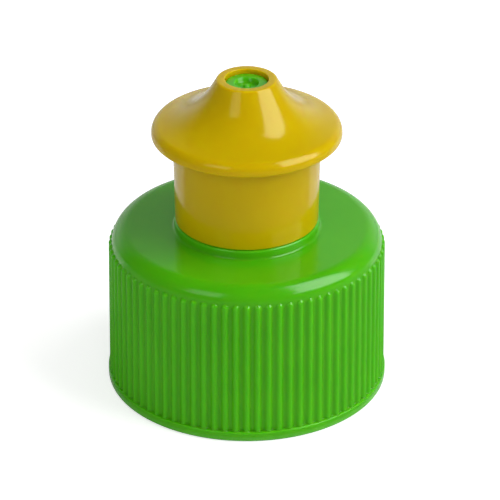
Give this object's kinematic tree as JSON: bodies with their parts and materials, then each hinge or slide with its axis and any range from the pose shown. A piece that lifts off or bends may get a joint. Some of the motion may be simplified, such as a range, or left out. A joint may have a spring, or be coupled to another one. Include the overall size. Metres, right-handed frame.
{
  "type": "push-pull screw cap",
  "caption": "Ribbed screw cap with a flanged pull-up nozzle that slides on a hidden spout to open or close over its centre pin.",
  "frame": {"origin": "on the cap's axis, in the plane of its open end", "axes": "+Z along the axis, from the open end to the nozzle's tip"},
  "size_m": [0.033, 0.033, 0.0387],
  "materials": {
    "base_plastic": "moulded green polypropylene, semi-gloss",
    "nozzle_plastic": "moulded yellow polypropylene, glossy"
  },
  "bodies": {
    "root": {"screw_base": "base_plastic"},
    "nozzle": {"pull_nozzle": "nozzle_plastic"}
  },
  "joints": [
    {"name": "nozzle_lift", "type": "slide", "parent": "root", "child": "nozzle", "axis": [0, 0, 1], "range_m": [0, 0.005]}
  ]
}
